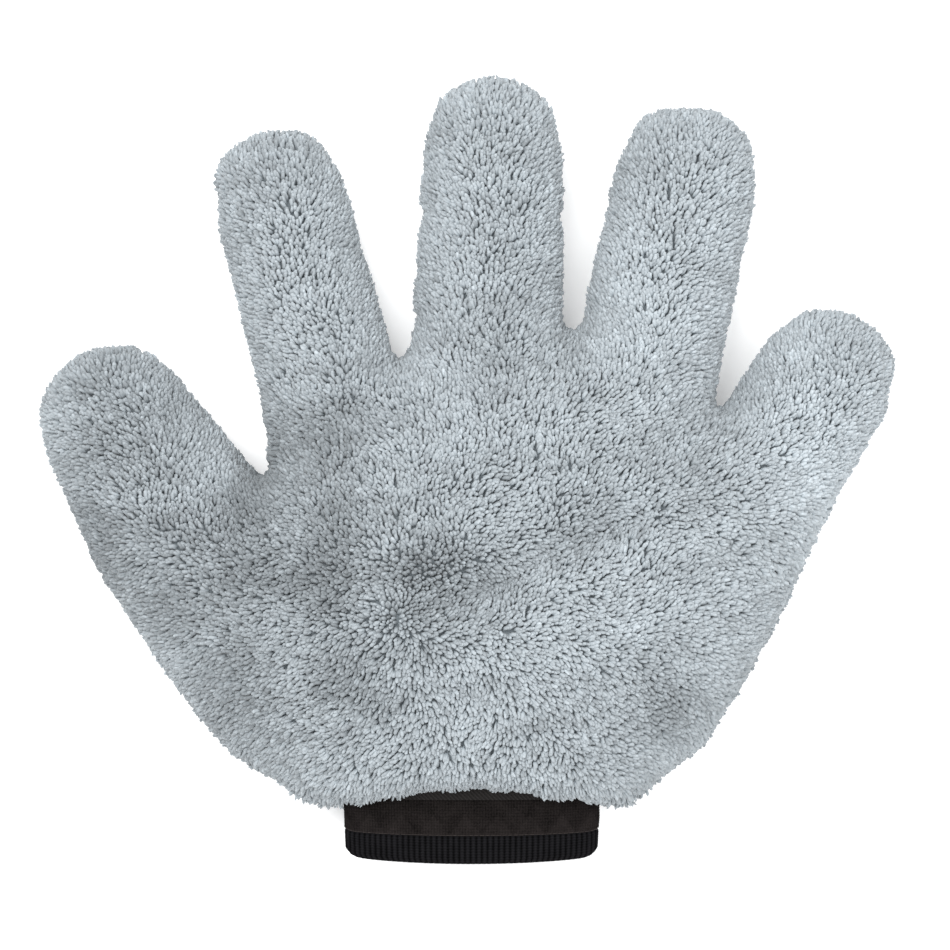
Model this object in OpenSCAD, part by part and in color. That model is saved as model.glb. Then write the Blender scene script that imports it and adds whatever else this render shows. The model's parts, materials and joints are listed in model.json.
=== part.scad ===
// Five-fingered plush wash glove, lying palm up on a flat surface, fingers towards +Y.
// Two plush panels, a face and a back, are sewn together round the edge over a thin lining,
// and a knitted cuff with an elastic hem closes the wrist. Each panel is one cut piece on the
// real glove. Here it is divided at the hinge lines of the digits, so that every digit can curl
// at its knuckle and at its middle joint. Every soft piece is a sheet with a thickness: an outer
// grid of points and an inner grid of points, closed along their edges.

/* [Plush panels] */
// Thickness of a plush panel, pile and backing together
panel_thickness = 8.5; // [6:0.5:9]
// Height of the side seam above the surface that the glove lies on
seam_height = 15; // [14:0.5:18]
// Rise of the palm face above the side seam, at the middle of the palm
palm_rise = 24; // [20:1:32]
// Rise of a digit's palm face above the side seam
digit_rise = 14; // [12:0.5:18]
// How far the heel of the palm swells out at each side
heel_swell = 11; // [4:0.5:14]
// Width that a web between two digits takes up in the palm
web_width = 6; // [4:0.5:8]

/* [Thumb] */
// Direction, in degrees from straight ahead towards the little finger
thumb_angle = -31.5; // [-38:0.5:-27]
// Knuckle, sideways from the middle of the wrist
thumb_x = -90.2; // [-100:0.1:-84]
// Knuckle, forwards from the plush hem
thumb_y = 84.7; // [70:0.1:95]
// Knuckle to tip
thumb_length = 58.5; // [50:0.5:80]
// Width at the knuckle
thumb_root_width = 57; // [48:0.5:60]
// Width where the rounded tip starts
thumb_tip_width = 48; // [40:0.5:52]
// Knuckle to the middle joint
thumb_joint = 25; // [20:0.5:28]

/* [Index finger] */
// Direction, in degrees from straight ahead towards the little finger
index_angle = -14.9; // [-20:0.1:-10]
// Knuckle, sideways from the middle of the wrist
index_x = -44.8; // [-50:0.1:-40]
// Knuckle, forwards from the plush hem
index_y = 131.9; // [110:0.1:150]
// Knuckle to tip
index_length = 74.5; // [60:0.5:95]
// Width at the knuckle
index_root_width = 43; // [38:0.5:46]
// Width where the rounded tip starts
index_tip_width = 41; // [36:0.5:44]
// Knuckle to the middle joint
index_joint = 32; // [26:0.5:38]

/* [Middle finger] */
// Direction, in degrees from straight ahead towards the little finger
middle_angle = 1.7; // [-4:0.1:6]
// Knuckle, sideways from the middle of the wrist
middle_x = 5; // [0:0.1:9]
// Knuckle, forwards from the plush hem
middle_y = 147.4; // [125:0.1:165]
// Knuckle to tip
middle_length = 73; // [60:0.5:95]
// Width at the knuckle
middle_root_width = 46; // [40:0.5:48]
// Width where the rounded tip starts
middle_tip_width = 42.5; // [38:0.5:45]
// Knuckle to the middle joint
middle_joint = 32; // [26:0.5:38]

/* [Ring finger] */
// Direction, in degrees from straight ahead towards the little finger
ring_angle = 12.2; // [8:0.1:18]
// Knuckle, sideways from the middle of the wrist
ring_x = 55.4; // [51:0.1:60]
// Knuckle, forwards from the plush hem
ring_y = 141.3; // [120:0.1:158]
// Knuckle to tip
ring_length = 71.5; // [60:0.5:92]
// Width at the knuckle
ring_root_width = 45; // [40:0.5:46]
// Width where the rounded tip starts
ring_tip_width = 44; // [38:0.5:45]
// Knuckle to the middle joint
ring_joint = 32; // [26:0.5:38]

/* [Little finger] */
// Direction, in degrees from straight ahead towards the little finger's own side
little_angle = 32.6; // [28:0.1:38]
// Knuckle, sideways from the middle of the wrist
little_x = 94.3; // [90:0.1:102]
// Knuckle, forwards from the plush hem
little_y = 106.3; // [90:0.1:118]
// Knuckle to tip
little_length = 47; // [44:0.5:65]
// Width at the knuckle
little_root_width = 44.5; // [38:0.5:46]
// Width where the rounded tip starts
little_tip_width = 43; // [36:0.5:44]
// Knuckle to the middle joint
little_joint = 20; // [19:0.5:22]

/* [Webs] */
// Set-back of the web beside the thumb, behind the two knuckles
thumb_web = 15; // [8:0.5:20]
// Set-back of the web beside the index finger
index_web = 8.5; // [4:0.5:14]
// Set-back of the web beside the middle finger
middle_web = 3; // [2:0.5:10]
// Set-back of the web beside the ring finger
ring_web = 11.7; // [6:0.5:16]

/* [Joints] */
// Furthest curl of a digit at its knuckle, in degrees
knuckle_curl = 60; // [30:5:65]
// Furthest curl of a digit at its middle joint, in degrees
middle_curl = 60; // [30:5:65]
// Clearance between two panels that a hinge line divides
joint_gap = 0.6; // [0.4:0.1:1.5]

/* [Cuff] */
// Width of the cuff, lying flat
cuff_width = 78.6; // [70:0.2:95]
// Rise of the cuff above the side seam
cuff_rise = 9; // [7:0.5:12]
// Length of the knitted band that shows below the hem
knit_length = 11; // [6:0.2:14]
// Length of the knitted band tucked inside the hem
knit_tuck = 6; // [4:0.5:10]
// Thickness of the knitted band
knit_thickness = 1.6; // [1:0.1:2]
// Length of the folded rib hem
rib_length = 7.8; // [7:0.2:14]
// Thickness of one layer of the rib hem
rib_layer = 0.9; // [0.6:0.1:1.2]
// Width of the elastic
elastic_width = 5.5; // [4:0.5:6]
// Thickness of the elastic
elastic_thickness = 0.8; // [0.5:0.1:1]
// How much further forward the cuff reaches at its sides, as a share of its length
cuff_bow = 0.08; // [0:0.02:0.4]

/* [Seams and lining] */
// Width of the overlocked seam allowance
seam_width = 5; // [3:0.5:5]
// Thickness of the overlocked seam allowance, at the inner edge of the panels
seam_thickness = 1.6; // [1:0.1:2]
// Room between the cuff and the hem, for the seam that joins them
cuff_seam_room = 1.5; // [1.2:0.1:2.5]
// Width of the seam between the knitted band and the rib hem
band_seam_width = 3; // [2:0.5:4]
// Thickness of that seam
band_seam_thickness = 0.8; // [0.6:0.1:1.2]
// Thickness of the lining
lining_thickness = 0.8; // [0.6:0.1:1.2]

/* [Hidden] */
fit_gap = 0.15;
face_gap = 0.05;
fullness = 0.85;
palm_fullness = 0.5;
press = 1.3;
closing_seam = [1.2, 2];
web_spread = 1.25;
root_hold = 5;
row_ease = 1.5;
panel_steps = 8;
lining_steps = 4;
palm_rows = 8;
base_rows = 3;
straight_rows = 2;
tip_rows = 6;
cuff_steps = 32;
face = 1;
back = -1;
base = 0;
tip = 1;

DIGITS = [
    ["thumb", thumb_angle, thumb_x, thumb_y, thumb_length, thumb_root_width, thumb_tip_width, thumb_joint],
    ["index", index_angle, index_x, index_y, index_length, index_root_width, index_tip_width, index_joint],
    ["middle", middle_angle, middle_x, middle_y, middle_length, middle_root_width, middle_tip_width,
        middle_joint],
    ["ring", ring_angle, ring_x, ring_y, ring_length, ring_root_width, ring_tip_width, ring_joint],
    ["little", little_angle, little_x, little_y, little_length, little_root_width, little_tip_width,
        little_joint]
];
WEBS = [thumb_web, index_web, middle_web, ring_web];
LAST = len(DIGITS) - 1;

function digit_name(d) = DIGITS[d][0];
function angle(d) = DIGITS[d][1];
function knuckle(d) = [DIGITS[d][2], DIGITS[d][3]];
function digit_length(d) = DIGITS[d][4];
function root_half(d) = DIGITS[d][5] / 2;
function tip_half(d) = DIGITS[d][6] / 2;
function joint_at(d) = DIGITS[d][7];

DIGIT_PIECES = ["face", "back", "lining", "seam"];
DIGIT_PARTS = ["base", "tip"];

plush_colour = "#A9B4BA";
lining_colour = "#CBD0D3";
seam_colour = "#8C979D";
knit_colour = "#2B2827";
rib_colour = "#222128";
elastic_colour = "#E6E3DA";

// ---- the box round the glove, which sets its origin ---------------------------------------

function forward(d) = [sin(angle(d)), cos(angle(d))];
function rightward(d) = [cos(angle(d)), -sin(angle(d))];
function tip_centre(d) = knuckle(d) + forward(d) * (digit_length(d) - tip_half(d));
cuff_end = knit_length + rib_length + face_gap;
left_end = min([for (d = [0:LAST]) tip_centre(d)[0] - tip_half(d)]);
right_end = max([for (d = [0:LAST]) tip_centre(d)[0] + tip_half(d)]);
front_end = max([for (d = [0:LAST]) tip_centre(d)[1] + tip_half(d)]);
origin_shift = [-(left_end + right_end) / 2, -(front_end - cuff_end) / 2];

// ---- sections: a loop round a digit, the palm or the cuff ---------------------------------
// A turn of 0 is the right edge, 90 the top, 180 the left edge and 270 the underside.

function mix(a, b, t) = a + (b - a) * t;
function turns(side, steps) = [for (k = [0:steps]) (side == face ? 0 : 180) + 180 * k / steps];
function dome(turn, power) = pow(abs(sin(turn)), power);
function section(side, up, down, turn, rim, power) =
    side == face
        ? rim + (up - rim) * dome(turn, power)
        : -rim - (down - rim) * min(1, press * dome(turn, power));

// The rims of the two panels meet at the outside and open like a wedge towards the inside
function rim_at(inset) = mix(face_gap, seam_thickness / 2 + 2 * fit_gap, inset / panel_thickness);

// How far an end stands back from its hinge line, so that the palm side can fold
function set_back(curl, lift) = joint_gap / 2 + tan(curl / 2) * max(0, lift);

// ---- digits -------------------------------------------------------------------------------

function place(d, across, along) = knuckle(d) + rightward(d) * across + forward(d) * along;
function rows(part) = part == base ? base_rows : straight_rows + tip_rows;
function arc_start(d) = digit_length(d) - tip_half(d);
function arc_turn(k) = 90 * (k - straight_rows) / tip_rows;
function on_arc(part, k) = part == tip && k > straight_rows;

function along_at(d, part, k, inset) =
    part == base ? joint_at(d) * k / base_rows :
    on_arc(part, k) ? arc_start(d) + (tip_half(d) - inset) * sin(arc_turn(k)) :
    mix(joint_at(d), arc_start(d), k / straight_rows);

function half_at(d, part, k, inset) =
    on_arc(part, k)
        ? (tip_half(d) - inset) * cos(arc_turn(k))
        : mix(root_half(d), tip_half(d), along_at(d, part, k, inset) / arc_start(d)) - inset;

function height_share(part, k) = on_arc(part, k) ? pow(cos(arc_turn(k)), fullness) : 1;

function digit_lift(side, part, k, inset, rim, turn) =
    section(side, rim + (digit_rise - inset - rim) * height_share(part, k),
        rim + (seam_height - inset - rim) * height_share(part, k), turn, rim, fullness);

function digit_point(d, part, k, inset, turn, lift) =
    let (
        nominal = along_at(d, part, k, inset),
        share = (nominal - joint_at(d)) / (digit_length(d) - inset - joint_at(d)),
        along = part == base
            ? mix(set_back(knuckle_curl, lift), joint_at(d) - set_back(middle_curl, lift), k / base_rows)
            : nominal + set_back(middle_curl, lift) * (1 - share),
        at = place(d, half_at(d, part, k, inset) * cos(turn), along)
    ) [at[0], at[1], seam_height + lift];

function digit_row(d, part, k, side, steps, inset, rim) =
    [for (turn = turns(side, steps))
        digit_point(d, part, k, inset, turn, digit_lift(side, part, k, inset, rim, turn))];

// ---- palm ---------------------------------------------------------------------------------
// A column runs from the hem to the knuckle line: [digit, turn, 0] ends on a digit's section,
// and [digit, turn, 1] ends on the web between that digit and the next.

function palm_columns(side, steps) =
    side == face
        ? [for (d = [LAST:-1:0]) each concat(
            [for (turn = turns(side, steps)) [d, turn, 0]], d > 0 ? [[d - 1, 0, 1]] : [])]
        : [for (d = [0:LAST]) each concat(
            [for (turn = turns(side, steps)) [d, turn, 0]], d < LAST ? [[d, 0, 1]] : [])];

function widths_before(d) = d == 0 ? 0 : widths_before(d - 1) + 2 * root_half(d - 1) + web_width;
palm_span = widths_before(LAST) + 2 * root_half(LAST);

// Place of a column across the palm, from 0 at the thumb's edge to 1 at the little finger's
function share_across(column) =
    let (d = column[0])
    column[2] == 1
        ? (widths_before(d) + 2 * root_half(d) + web_width / 2) / palm_span
        : (widths_before(d) + root_half(d) * (1 + cos(column[1]))) / palm_span;

function web_point(d, inset) =
    let (
        right = place(d, root_half(d), 0),
        left = place(d + 1, -root_half(d + 1), 0),
        lean = (angle(d) + angle(d + 1)) / 2
    ) (right + left) / 2 - [sin(lean), cos(lean)] * (WEBS[d] + web_spread * inset);

function row_share(row) = 1 - pow(1 - row / palm_rows, row_ease);
hem_half = cuff_width / 2 + cuff_seam_room + panel_thickness;
hem_rise = cuff_rise + cuff_seam_room + panel_thickness;

// The panels start at the hem, and the lining at the tucked end of the cuff
function start_of(inset) = inset > panel_thickness ? knit_tuck + fit_gap : 0;

function palm_lift(side, row, column, inset, rim) =
    let (
        s = row_share(row),
        root = pow(s, root_hold),
        up = mix(hem_rise, palm_rise, sin(180 * s)) - inset,
        middle = section(side, up, seam_height - inset, 180 * share_across(column), rim,
            mix(fullness, palm_fullness, s)),
        end = column[2] == 1
            ? (side == face ? rim : -rim)
            : digit_lift(side, base, 0, inset, rim, column[1])
    ) mix(middle, end, root);

function palm_point(row, column, inset, lift) =
    let (
        s = row_share(row),
        spread = -cos(180 * share_across(column)),
        hem = [(hem_half - inset) * spread, 0],
        end = column[2] == 1
            ? web_point(column[0], inset)
            : place(column[0], (root_half(column[0]) - inset) * cos(column[1]),
                -set_back(knuckle_curl, lift)),
        swell = [heel_swell * spread * sin(180 * sqrt(s)), start_of(inset) * pow(1 - s, 4)],
        at = mix(hem, end, s) + swell
    ) [at[0], at[1], seam_height + lift];

function palm_row(row, side, steps, inset, rim) =
    [for (column = palm_columns(side, steps))
        palm_point(row, column, inset, palm_lift(side, row, column, inset, rim))];

// ---- cuff ---------------------------------------------------------------------------------

// Depth of the cuff below the side seam, which the hem's thickness sets
cuff_depth = seam_height - panel_thickness - cuff_seam_room;

function cuff_row(distance, offset) =
    [for (k = [0:cuff_steps - 1])
        let (
            turn = 360 * k / cuff_steps,
            across = (cuff_width / 2 + offset) * cos(turn),
            reach = distance > 0 ? 1 - cuff_bow * pow(cos(turn), 2) : 1,
            side = turn <= 180 ? face : back
        )
        [across, -distance * reach,
            seam_height + section(side, cuff_rise + offset, cuff_depth + offset, turn, 0, fullness)]];

// ---- sheets -------------------------------------------------------------------------------

function flat(list) = [for (item = list) each item];
function quad(a, b, c, d) = [[a, c, b], [a, d, c]];
function has_area(points, f) =
    points[f[0]] != points[f[1]] && points[f[1]] != points[f[2]] && points[f[2]] != points[f[0]];

function sheet_faces(row_count, columns, looped, pointed) =
    let (
        last = row_count - 1,
        across = looped ? columns - 1 : columns - 2,
        lower = row_count * columns
    )
    concat(
        [for (i = [0:last - 1]) for (j = [0:across])
            let (n = (j + 1) % columns, a = i * columns, b = a + columns)
            each quad(a + j, b + j, b + n, a + n)],
        [for (i = [0:last - 1]) for (j = [0:across])
            let (n = (j + 1) % columns, a = lower + i * columns, b = a + columns)
            each quad(a + j, a + n, b + n, b + j)],
        [for (j = [0:across])
            let (n = (j + 1) % columns)
            each quad(j, n, lower + n, lower + j)],
        pointed ? [] : [for (j = [0:across])
            let (n = (j + 1) % columns, a = last * columns)
            each quad(a + n, a + j, lower + a + j, lower + a + n)],
        looped ? [] : [for (i = [0:last - 1])
            let (a = i * columns, b = a + columns)
            each quad(a, lower + a, lower + b, b)],
        looped ? [] : [for (i = [0:last - 1])
            let (a = i * columns + columns - 1, b = a + columns)
            each quad(a, b, lower + b, lower + a)]
    );

// A sheet between an outer and an inner grid of rows, which may be looped into a tube and may
// run out to a point at its last row
module sheet(outer, inner, looped = false, pointed = false) {
    points = concat(flat(outer), flat(inner));
    faces = sheet_faces(len(outer), len(outer[0]), looped, pointed);
    polyhedron(points = points, faces = [for (f = faces) if (has_area(points, f)) f]);
}

module in_place() {
    translate([origin_shift[0], origin_shift[1], 0]) children();
}

// ---- pieces of the palm -------------------------------------------------------------------

module palm_panel(side) {
    color(plush_colour) in_place() sheet(
        [for (row = [0:palm_rows]) palm_row(row, side, panel_steps, 0, rim_at(0))],
        [for (row = [0:palm_rows]) palm_row(row, side, panel_steps, panel_thickness, rim_at(panel_thickness))]
    );
}

function lining_ring(row, inset) = concat(
    palm_row(row, face, lining_steps, inset, fit_gap),
    palm_row(row, back, lining_steps, inset, fit_gap)
);

module palm_lining() {
    color(lining_colour) in_place() sheet(
        [for (row = [0:palm_rows]) lining_ring(row, panel_thickness + fit_gap)],
        [for (row = [0:palm_rows]) lining_ring(row, panel_thickness + fit_gap + lining_thickness)],
        looped = true
    );
}

// A seam allowance fills the wedge between the rims of the two panels
seam_outer = panel_thickness - seam_width;
function seam_half(inset) = rim_at(inset) - 2 * fit_gap;

module seam_strip(outer_path, inner_path) {
    color(seam_colour) in_place() sheet(outer_path, inner_path);
}

// The two heights of a seam, in the order that its sheet needs at the right or the left edge
function seam_sides(turn) = turn == 0 ? [back, face] : [face, back];

function palm_seam_path(column, inset) =
    [for (row = [0:palm_rows]) [for (side = seam_sides(column[1]))
        palm_point(row, column, inset, side * seam_half(inset))]];

module side_seam() {
    for (column = [[0, 180, 0], [LAST, 0, 0]])
        seam_strip(palm_seam_path(column, seam_outer), palm_seam_path(column, panel_thickness));
}

// The rims turn sharply at a web, so its seam is narrower and has more room above and below
web_seam_outer = seam_outer + 1;
function web_seam_half(inset) = seam_half(inset) - fit_gap;

function web_seam_path(d, inset) =
    [for (column = [[d, 0, 0], [d, 0, 1], [d + 1, 180, 0]]) [for (side = seam_sides(180))
        palm_point(palm_rows, column, inset, side * web_seam_half(inset))]];

module web_seam() {
    for (d = [0:LAST - 1])
        seam_strip(web_seam_path(d, web_seam_outer), web_seam_path(d, panel_thickness));
}

// ---- pieces of a digit --------------------------------------------------------------------

module digit_panel(d, part, side) {
    color(plush_colour) in_place() sheet(
        [for (k = [0:rows(part)]) digit_row(d, part, k, side, panel_steps, 0, rim_at(0))],
        [for (k = [0:rows(part)]) digit_row(d, part, k, side, panel_steps, panel_thickness,
            rim_at(panel_thickness))]
    );
}

function digit_ring(d, part, k, inset) = concat(
    digit_row(d, part, k, face, lining_steps, inset, fit_gap),
    digit_row(d, part, k, back, lining_steps, inset, fit_gap)
);

module digit_lining(d, part) {
    color(lining_colour) in_place() sheet(
        [for (k = [0:rows(part)]) digit_ring(d, part, k, panel_thickness + fit_gap)],
        [for (k = [0:rows(part)]) digit_ring(d, part, k, panel_thickness + fit_gap + lining_thickness)],
        looped = true, pointed = part == tip
    );
}

function digit_seam_path(d, part, turn, inset) =
    [for (k = [0:rows(part)]) [for (side = seam_sides(turn))
        digit_point(d, part, k, inset, turn, side * seam_half(inset))]];

function reversed(list) = [for (k = [len(list) - 1:-1:0]) list[k]];
function round_tip(right, left) =
    concat(right, [for (k = [len(left) - 2:-1:0]) reversed(left[k])]);

module digit_seam(d, part) {
    right = [for (inset = [seam_outer, panel_thickness]) digit_seam_path(d, part, 0, inset)];
    left = [for (inset = [seam_outer, panel_thickness]) digit_seam_path(d, part, 180, inset)];
    if (part == tip)
        seam_strip(round_tip(right[0], left[0]), round_tip(right[1], left[1]));
    else {
        seam_strip(right[0], right[1]);
        seam_strip(left[0], left[1]);
    }
}

module digit_piece(d, part, piece) {
    if (piece == "face") digit_panel(d, part, face);
    if (piece == "back") digit_panel(d, part, back);
    if (piece == "lining") digit_lining(d, part);
    if (piece == "seam") digit_seam(d, part);
}

// ---- pieces of the cuff -------------------------------------------------------------------

module cuff_tube(colour, distances, outer_offset, inner_offset) {
    color(colour) in_place() sheet(
        [for (distance = distances) cuff_row(distance, outer_offset)],
        [for (distance = distances) cuff_row(distance, inner_offset)],
        looped = true
    );
}

module cuff_knit_band() {
    cuff_tube(knit_colour, [knit_length, 0, -knit_tuck], 0, -knit_thickness);
}

// The rib hem is one layer folded double round the elastic
rib_top = knit_length + face_gap;
rib_slot = elastic_thickness + 2 * fit_gap;
rib_inside = -2 * rib_layer - rib_slot;

module cuff_rib_hem() {
    fold = cuff_end - rib_layer;
    color(rib_colour) in_place() sheet(
        [cuff_row(rib_top, rib_inside), cuff_row(cuff_end, rib_inside), cuff_row(cuff_end, 0),
            cuff_row(rib_top, 0)],
        [cuff_row(rib_top, rib_inside + rib_layer), cuff_row(fold, rib_inside + rib_layer),
            cuff_row(fold, -rib_layer), cuff_row(rib_top, -rib_layer)],
        looped = true
    );
}

module cuff_elastic() {
    bottom = cuff_end - rib_layer - 2 * fit_gap;
    outer_offset = -rib_layer - fit_gap;
    cuff_tube(elastic_colour, [bottom, bottom - elastic_width], outer_offset,
        outer_offset - elastic_thickness);
}

// Joins the cuff to the hem of the panels
module cuff_hem_seam() {
    cuff_tube(seam_colour, [-1, 1 - knit_tuck], cuff_seam_room - 2 * fit_gap, fit_gap);
}

// Joins the rib hem to the knitted band, on the inside
band_seam_top = knit_length - band_seam_width;
module cuff_band_seam() {
    cuff_tube(knit_colour, [knit_length, band_seam_top], -knit_thickness - fit_gap,
        -knit_thickness - fit_gap - band_seam_thickness);
}

// Closes the knitted band into a tube, on the inside at the little finger's side. The band's
// first side step there is higher than the seam, so the seam lies just inside that step.
module cuff_closing_seam() {
    far = knit_tuck - 1;
    near = fit_gap - band_seam_top * (1 - cuff_bow);
    inside = (cuff_width / 2 - knit_thickness) * cos(360 / cuff_steps) - 2 * fit_gap;
    color(knit_colour) in_place()
        translate([inside - closing_seam[0], near, seam_height - closing_seam[1] / 2])
            cube([closing_seam[0], far - near, closing_seam[1]]);
}

palm_panel(face);  // palm_face
palm_panel(back);  // palm_back
palm_lining();
side_seam();
web_seam();
cuff_knit_band();
cuff_rib_hem();
cuff_elastic();
cuff_hem_seam();
cuff_band_seam();
cuff_closing_seam();
for (d = [0:LAST]) for (p = [base, tip]) for (piece = DIGIT_PIECES)
    digit_piece(d, p, piece);
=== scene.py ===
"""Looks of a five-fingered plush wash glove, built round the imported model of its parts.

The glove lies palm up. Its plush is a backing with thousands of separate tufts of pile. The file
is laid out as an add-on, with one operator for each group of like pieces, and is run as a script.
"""

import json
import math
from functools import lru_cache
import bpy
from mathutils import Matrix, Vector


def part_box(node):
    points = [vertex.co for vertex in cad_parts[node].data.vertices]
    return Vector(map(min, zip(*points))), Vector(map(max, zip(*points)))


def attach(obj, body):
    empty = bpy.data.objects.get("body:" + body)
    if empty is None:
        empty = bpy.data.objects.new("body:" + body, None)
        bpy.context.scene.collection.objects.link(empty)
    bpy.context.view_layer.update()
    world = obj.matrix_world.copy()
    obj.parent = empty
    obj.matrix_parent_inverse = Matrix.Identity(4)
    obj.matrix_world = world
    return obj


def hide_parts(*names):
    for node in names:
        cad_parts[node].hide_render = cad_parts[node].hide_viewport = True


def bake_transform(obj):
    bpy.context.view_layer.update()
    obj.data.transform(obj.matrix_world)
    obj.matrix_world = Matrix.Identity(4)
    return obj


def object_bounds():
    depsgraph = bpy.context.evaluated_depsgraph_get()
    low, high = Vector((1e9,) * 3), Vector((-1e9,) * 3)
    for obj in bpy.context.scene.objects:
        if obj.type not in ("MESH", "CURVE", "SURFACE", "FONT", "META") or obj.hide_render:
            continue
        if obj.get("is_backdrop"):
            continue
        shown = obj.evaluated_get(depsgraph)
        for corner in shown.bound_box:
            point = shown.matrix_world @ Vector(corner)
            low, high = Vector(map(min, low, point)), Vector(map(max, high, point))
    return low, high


bl_info = {
    "name": "Plush wash glove",
    "version": (1, 0, 0),
    "blender": (4, 5, 0),
    "location": "3D View > Sidebar > Wash glove",
    "description": "Builds the plush, lining, seams and cuff of a wash glove round its frame",
    "category": "Object",
}

import bpy
import numpy as np
from mathutils import Vector
from mathutils.bvhtree import BVHTree
from mathutils.kdtree import KDTree

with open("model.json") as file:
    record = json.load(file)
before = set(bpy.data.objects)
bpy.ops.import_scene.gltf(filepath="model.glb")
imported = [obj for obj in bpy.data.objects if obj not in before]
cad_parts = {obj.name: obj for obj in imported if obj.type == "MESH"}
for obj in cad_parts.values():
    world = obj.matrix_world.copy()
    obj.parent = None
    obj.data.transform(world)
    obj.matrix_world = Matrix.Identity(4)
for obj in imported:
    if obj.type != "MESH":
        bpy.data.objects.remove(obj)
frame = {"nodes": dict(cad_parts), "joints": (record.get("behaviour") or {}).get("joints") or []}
CAD_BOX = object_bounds()

MM = 0.001
DIGIT_NAMES = ("thumb", "index", "middle", "ring", "little")


# ---- what the frame says ----------------------------------------------------------------------

def node_points(name):
    """The corner points of a CAD node, as an array."""
    return np.array([v.co for v in frame["nodes"][name].data.vertices])


JOINTS = {joint["name"]: joint for joint in frame["joints"]}
SEAM_Z = JOINTS["middle_knuckle"]["pos_m"][2]
HEM_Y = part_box("palm_face")[0].y
PALM_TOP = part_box("palm_face")[1].z
BAND_LOW, BAND_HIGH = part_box("cuff_knit_band")
RIB_LOW, RIB_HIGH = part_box("cuff_rib_hem")
CUFF_X = (BAND_LOW.x + BAND_HIGH.x) / 2
CUFF_HALF = (BAND_HIGH.x - BAND_LOW.x) / 2
CUFF_RISE = BAND_HIGH.z - SEAM_Z
CUFF_DEPTH = SEAM_Z - BAND_LOW.z


class Digit:
    """Where a digit's two hinges are, which way it points and how wide its root is."""

    def __init__(self, name):
        self.name = name
        knuckle, middle = JOINTS[name + "_knuckle"], JOINTS[name + "_middle"]
        self.knuckle = np.array(knuckle["pos_m"])
        self.middle = np.array(middle["pos_m"])
        axis = np.array(knuckle["axis"])
        self.rightward = axis / np.linalg.norm(axis)
        self.forward = np.array([-self.rightward[1], self.rightward[0], 0.0])
        self.bend = float(np.linalg.norm(self.middle - self.knuckle))
        corners = node_points(name + "_base_back")
        self.half = float(np.abs((corners - self.knuckle) @ self.rightward).max())
        self.hinge_reach = min(12 * MM, self.bend / 2)
        self.length = float(self.along(node_points(name + "_tip_back")).max())

    def along(self, points):
        return (points - self.knuckle) @ self.forward

    def across(self, points):
        return (points - self.knuckle) @ self.rightward


DIGITS = [Digit(name) for name in DIGIT_NAMES]


# ---- settings ----------------------------------------------------------------------------------

class PlushSettings(bpy.types.PropertyGroup):
    """Sizes and colours of the plush."""

    pitch: bpy.props.FloatProperty(
        name="Tuft pitch", description="Distance between neighbouring tufts",
        default=1.05 * MM, unit="LENGTH")
    length: bpy.props.FloatProperty(
        name="Tuft length", description="Length of a tuft from the backing to its tip",
        default=3.3 * MM, unit="LENGTH")
    width: bpy.props.FloatProperty(
        name="Tuft width", description="Width of a tuft at its widest",
        default=1.28 * MM, unit="LENGTH")
    stand: bpy.props.FloatProperty(
        name="Pile stand", description="How far the lying pile stands proud of the backing",
        default=2.3 * MM, unit="LENGTH")
    tip_colour: bpy.props.FloatVectorProperty(
        name="Tip colour", description="Colour of the tips of the pile", subtype="COLOR",
        size=3, default=(0.350, 0.386, 0.410))
    # Painted shade: the root colour stands for the shade deep in the pile, between the tufts
    root_shade_colour: bpy.props.FloatVectorProperty(
        name="Root colour", description="Colour deep in the pile", subtype="COLOR",
        size=3, default=(0.322, 0.370, 0.401))


class CuffSettings(bpy.types.PropertyGroup):
    """Sizes and colours of the cuff."""

    rib_count: bpy.props.IntProperty(
        name="Ribs", description="Number of ribs round the hem", default=96)
    rib_depth: bpy.props.FloatProperty(
        name="Rib depth", description="Depth of the grooves between the ribs",
        default=0.42 * MM, unit="LENGTH")
    tooth_count: bpy.props.IntProperty(
        name="Triangles", description="Number of faint triangles round the band", default=17)
    tooth_height: bpy.props.FloatProperty(
        name="Triangle height", description="Height of the triangles",
        default=6.5 * MM, unit="LENGTH")
    band_colour: bpy.props.FloatVectorProperty(
        name="Band colour", description="Colour of the knitted band", subtype="COLOR",
        size=3, default=(0.0122, 0.0102, 0.0098))
    rib_colour: bpy.props.FloatVectorProperty(
        name="Rib colour", description="Colour of the rib hem", subtype="COLOR",
        size=3, default=(0.0066, 0.0064, 0.0072))


class SewingSettings(bpy.types.PropertyGroup):
    """Colours of the lining, the seams and the elastic."""

    lining_colour: bpy.props.FloatVectorProperty(
        name="Lining colour", description="Colour of the lining", subtype="COLOR",
        size=3, default=(0.52, 0.56, 0.58))
    thread_colour: bpy.props.FloatVectorProperty(
        name="Thread colour", description="Colour of the seam threads", subtype="COLOR",
        size=3, default=(0.30, 0.345, 0.37))
    cuff_thread_colour: bpy.props.FloatVectorProperty(
        name="Cuff thread colour", description="Colour of the cuff's seam threads",
        subtype="COLOR", size=3, default=(0.019, 0.017, 0.0165))
    elastic_colour: bpy.props.FloatVectorProperty(
        name="Elastic colour", description="Colour of the elastic", subtype="COLOR",
        size=3, default=(0.78, 0.76, 0.70))


class StageSettings(bpy.types.PropertyGroup):
    """The floor, the lights and the camera."""

    view_width: bpy.props.FloatProperty(
        name="View width", description="Width that the camera takes in at the glove",
        default=0.2908, unit="LENGTH")
    camera_height: bpy.props.FloatProperty(
        name="Camera height", description="Height of the camera above the floor",
        default=0.9, unit="LENGTH")
    floor_colour: bpy.props.FloatVectorProperty(
        name="Floor colour", description="Colour of the floor", subtype="COLOR",
        size=3, default=(0.93, 0.93, 0.93))


# ---- material nodes ----------------------------------------------------------------------------

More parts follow.
